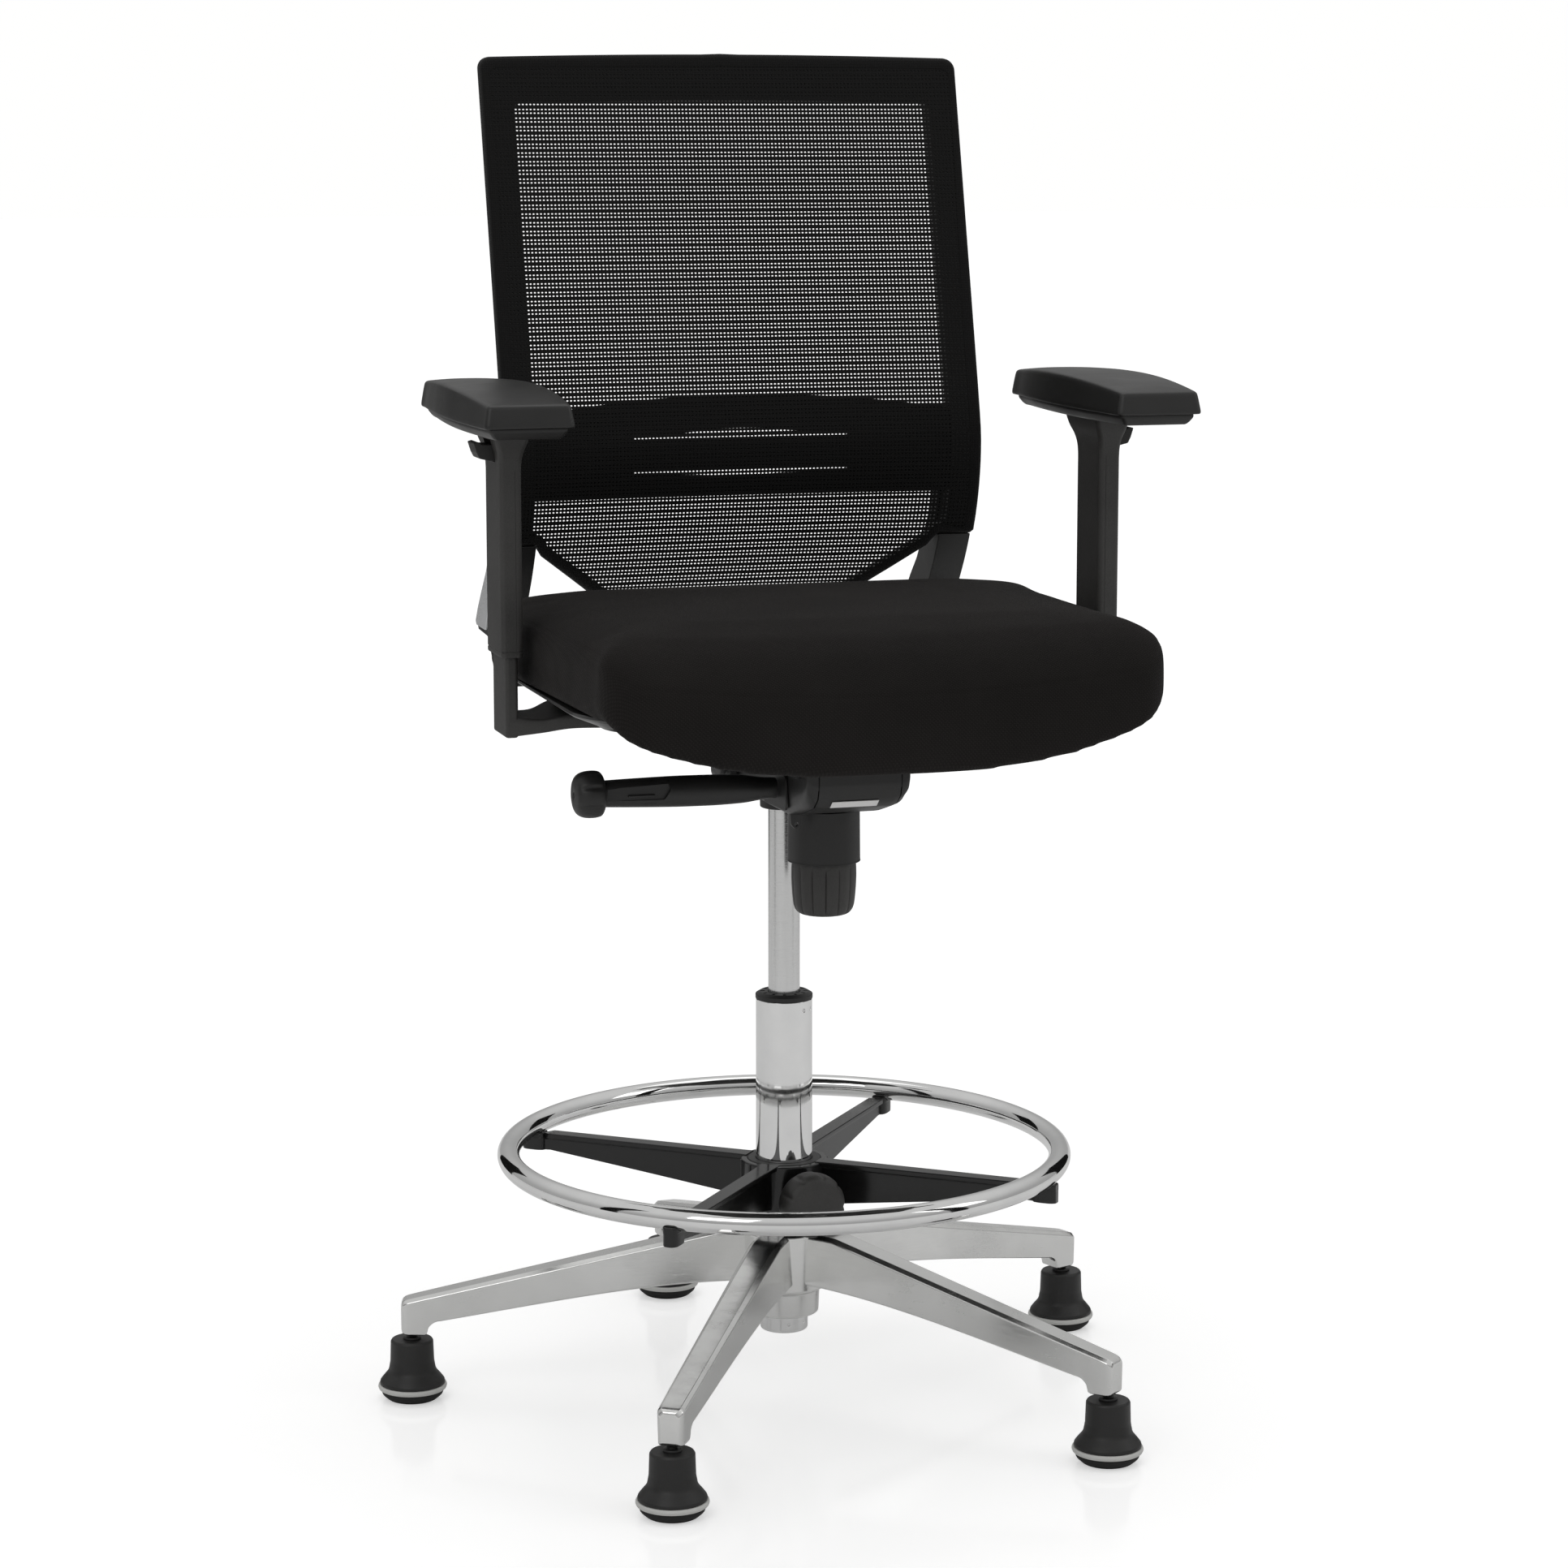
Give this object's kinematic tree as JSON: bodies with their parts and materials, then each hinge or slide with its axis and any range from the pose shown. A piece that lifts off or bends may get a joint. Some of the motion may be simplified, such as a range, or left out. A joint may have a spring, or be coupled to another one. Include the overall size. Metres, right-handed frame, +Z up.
{
  "type": "drafting chair",
  "caption": "Tall mesh-back swivel chair with padded seat, adjustable arms, gas lift, foot ring and star base on bell glides.",
  "frame": {"origin": "on the floor, under the centre of the chair's outer box", "axes": "+Z up; the chair faces -Y; +X is the sitter's left"},
  "size_m": [0.6943, 0.6966, 1.189],
  "materials": {
    "polished_aluminium": "polished casting",
    "chrome": "chrome plated steel",
    "black_steel": "satin black powder coat",
    "black_aluminium": "glossy black coated casting",
    "black_plastic": "fine-grained moulded nylon",
    "soft_touch_plastic": "soft polyurethane skin",
    "black_rubber": "matte",
    "light_grey_plastic": "smooth moulding",
    "silver_paint": "silver paint",
    "black_fabric": "fine twill upholstery over foam",
    "black_mesh": "open knitted mesh",
    "white_label": "blank matte sticker"
  },
  "bodies": {
    "base": {"base_star": "polished_aluminium", "column_tube": "chrome", "column_cap": "black_plastic", "glide_stem_1": "black_steel", "glide_stem_2": "black_steel", "glide_stem_3": "black_steel", "glide_stem_4": "black_steel", "glide_stem_5": "black_steel"},
    "glide_1": {"glide_bell_1": "black_plastic", "glide_ring_1": "light_grey_plastic", "glide_sole_1": "black_rubber"},
    "glide_2": {"glide_bell_2": "black_plastic", "glide_ring_2": "light_grey_plastic", "glide_sole_2": "black_rubber"},
    "glide_3": {"glide_bell_3": "black_plastic", "glide_ring_3": "light_grey_plastic", "glide_sole_3": "black_rubber"},
    "glide_4": {"glide_bell_4": "black_plastic", "glide_ring_4": "light_grey_plastic", "glide_sole_4": "black_rubber"},
    "glide_5": {"glide_bell_5": "black_plastic", "glide_ring_5": "light_grey_plastic", "glide_sole_5": "black_rubber"},
    "ring_slider": {"footring_bush": "black_plastic"},
    "foot_ring": {"footring_hub": "black_aluminium", "footring_ring": "chrome"},
    "ring_knob": {"footring_knob": "black_plastic"},
    "lift": {"lift_rod": "chrome"},
    "mech": {"mech_housing": "black_plastic", "tension_housing": "black_plastic", "label_plate": "white_label", "seat_pivot_pin": "black_steel", "back_pivot_bolt_l": "black_steel", "back_pivot_bolt_r": "black_steel"},
    "tension": {"tension_knob": "black_plastic"},
    "lever": {"height_lever": "black_plastic"},
    "lever_end": {"lever_knob": "black_plastic"},
    "seat": {"seat_plate": "black_steel", "seat_pan": "black_plastic", "seat_cushion": "black_fabric", "arm_bracket_l": "black_plastic", "arm_bracket_r": "black_plastic"},
    "arm_l": {"arm_sleeve_l": "black_plastic"},
    "arm_release_l": {"arm_button_l": "black_plastic"},
    "arm_rest_l": {"arm_tray_l": "black_plastic", "arm_pad_l": "soft_touch_plastic"},
    "arm_r": {"arm_sleeve_r": "black_plastic"},
    "arm_release_r": {"arm_button_r": "black_plastic"},
    "arm_rest_r": {"arm_tray_r": "black_plastic", "arm_pad_r": "soft_touch_plastic"},
    "back": {"back_frame": "black_plastic", "back_mesh": "black_mesh", "back_upright_l": "black_plastic", "back_upright_r": "black_plastic", "back_strip_l": "silver_paint", "back_strip_r": "silver_paint", "back_yoke": "black_steel"},
    "lumbar": {"lumbar_panel": "black_plastic"}
  },
  "joints": [
    {"name": "glide_1_turn", "type": "hinge", "parent": "base", "child": "glide_1", "pos_m": [-0.17179, -0.29664, 0.0385], "axis": [0, 0, 1], "continuous": true},
    {"name": "glide_2_turn", "type": "hinge", "parent": "base", "child": "glide_2", "pos_m": [0.21923, -0.27176, 0.0385], "axis": [0, 0, 1], "continuous": true},
    {"name": "glide_3_turn", "type": "hinge", "parent": "base", "child": "glide_3", "pos_m": [0.31641, 0.10781, 0.0385], "axis": [0, 0, 1], "continuous": true},
    {"name": "glide_4_turn", "type": "hinge", "parent": "base", "child": "glide_4", "pos_m": [-0.01456, 0.31753, 0.0385], "axis": [0, 0, 1], "continuous": true},
    {"name": "glide_5_turn", "type": "hinge", "parent": "base", "child": "glide_5", "pos_m": [-0.31629, 0.06756, 0.0385], "axis": [0, 0, 1], "continuous": true},
    {"name": "foot_ring_height", "type": "slide", "parent": "base", "child": "ring_slider", "axis": [0, 0, 1], "range_m": [-0.004, 0.09]},
    {"name": "foot_ring_turn", "type": "hinge", "parent": "ring_slider", "child": "foot_ring", "pos_m": [0.0066, -0.0151, 0.2256], "axis": [0, 0, 1], "continuous": true},
    {"name": "foot_ring_clamp", "type": "hinge", "parent": "foot_ring", "child": "ring_knob", "pos_m": [0.01283, -0.06975, 0.191], "axis": [0.1132, -0.9936, 0], "range_deg": [0, 720]},
    {"name": "seat_height", "type": "slide", "parent": "base", "child": "lift", "axis": [0, 0, 1], "range_m": [-0.145, 0.05]},
    {"name": "swivel", "type": "hinge", "parent": "lift", "child": "mech", "pos_m": [0.0066, -0.0151, 0.55], "axis": [0, 0, 1], "continuous": true},
    {"name": "tilt_tension", "type": "hinge", "parent": "mech", "child": "tension", "pos_m": [0.0066, -0.1351, 0.51], "axis": [0, 0, 1], "range_deg": [-720, 720]},
    {"name": "height_lever_lift", "type": "hinge", "parent": "mech", "child": "lever", "pos_m": [-0.0454, -0.1551, 0.5775], "axis": [0, 1, 0], "range_deg": [0, 8], "stiffness_Nm_per_rad": 1, "springref_deg": -5.73},
    {"name": "tilt_lock_twist", "type": "hinge", "parent": "lever", "child": "lever_end", "pos_m": [-0.2034, -0.1551, 0.5793], "axis": [-1, 0, 0], "range_deg": [0, 90]},
    {"name": "seat_tilt", "type": "hinge", "parent": "mech", "child": "seat", "pos_m": [0.0066, -0.2051, 0.603], "axis": [-1, 0, 0], "range_deg": [0, 7.2], "stiffness_Nm_per_rad": 320, "springref_deg": -9.17},
    {"name": "back_recline", "type": "hinge", "parent": "mech", "child": "back", "pos_m": [0.0066, -0.0151, 0.575], "axis": [-1, 0, 0], "range_deg": [0, 18], "stiffness_Nm_per_rad": 40, "springref_deg": -14.32},
    {"name": "lumbar_height", "type": "slide", "parent": "back", "child": "lumbar", "axis": [0, 0, 1], "range_m": [-0.012, 0.012]},
    {"name": "arm_height_l", "type": "slide", "parent": "seat", "child": "arm_l", "axis": [0, 0, 1], "range_m": [-0.045, 0.045]},
    {"name": "arm_button_l_press", "type": "slide", "parent": "arm_l", "child": "arm_release_l", "axis": [-1, 0, 0], "range_m": [0, 0.0025], "stiffness_N_per_m": 400, "springref_m": -0.002},
    {"name": "arm_pad_l_slide", "type": "slide", "parent": "arm_l", "child": "arm_rest_l", "axis": [0, 1, 0], "range_m": [-0.025, 0.025]},
    {"name": "arm_height_r", "type": "slide", "parent": "seat", "child": "arm_r", "axis": [0, 0, 1], "range_m": [-0.045, 0.045]},
    {"name": "arm_button_r_press", "type": "slide", "parent": "arm_r", "child": "arm_release_r", "axis": [1, 0, 0], "range_m": [0, 0.0025], "stiffness_N_per_m": 400, "springref_m": -0.002},
    {"name": "arm_pad_r_slide", "type": "slide", "parent": "arm_r", "child": "arm_rest_r", "axis": [0, 1, 0], "range_m": [-0.025, 0.025]}
  ],
  "couplings": [
    {"joint": "back_recline", "follows": "seat_tilt", "ratio": 2.5}
  ]
}
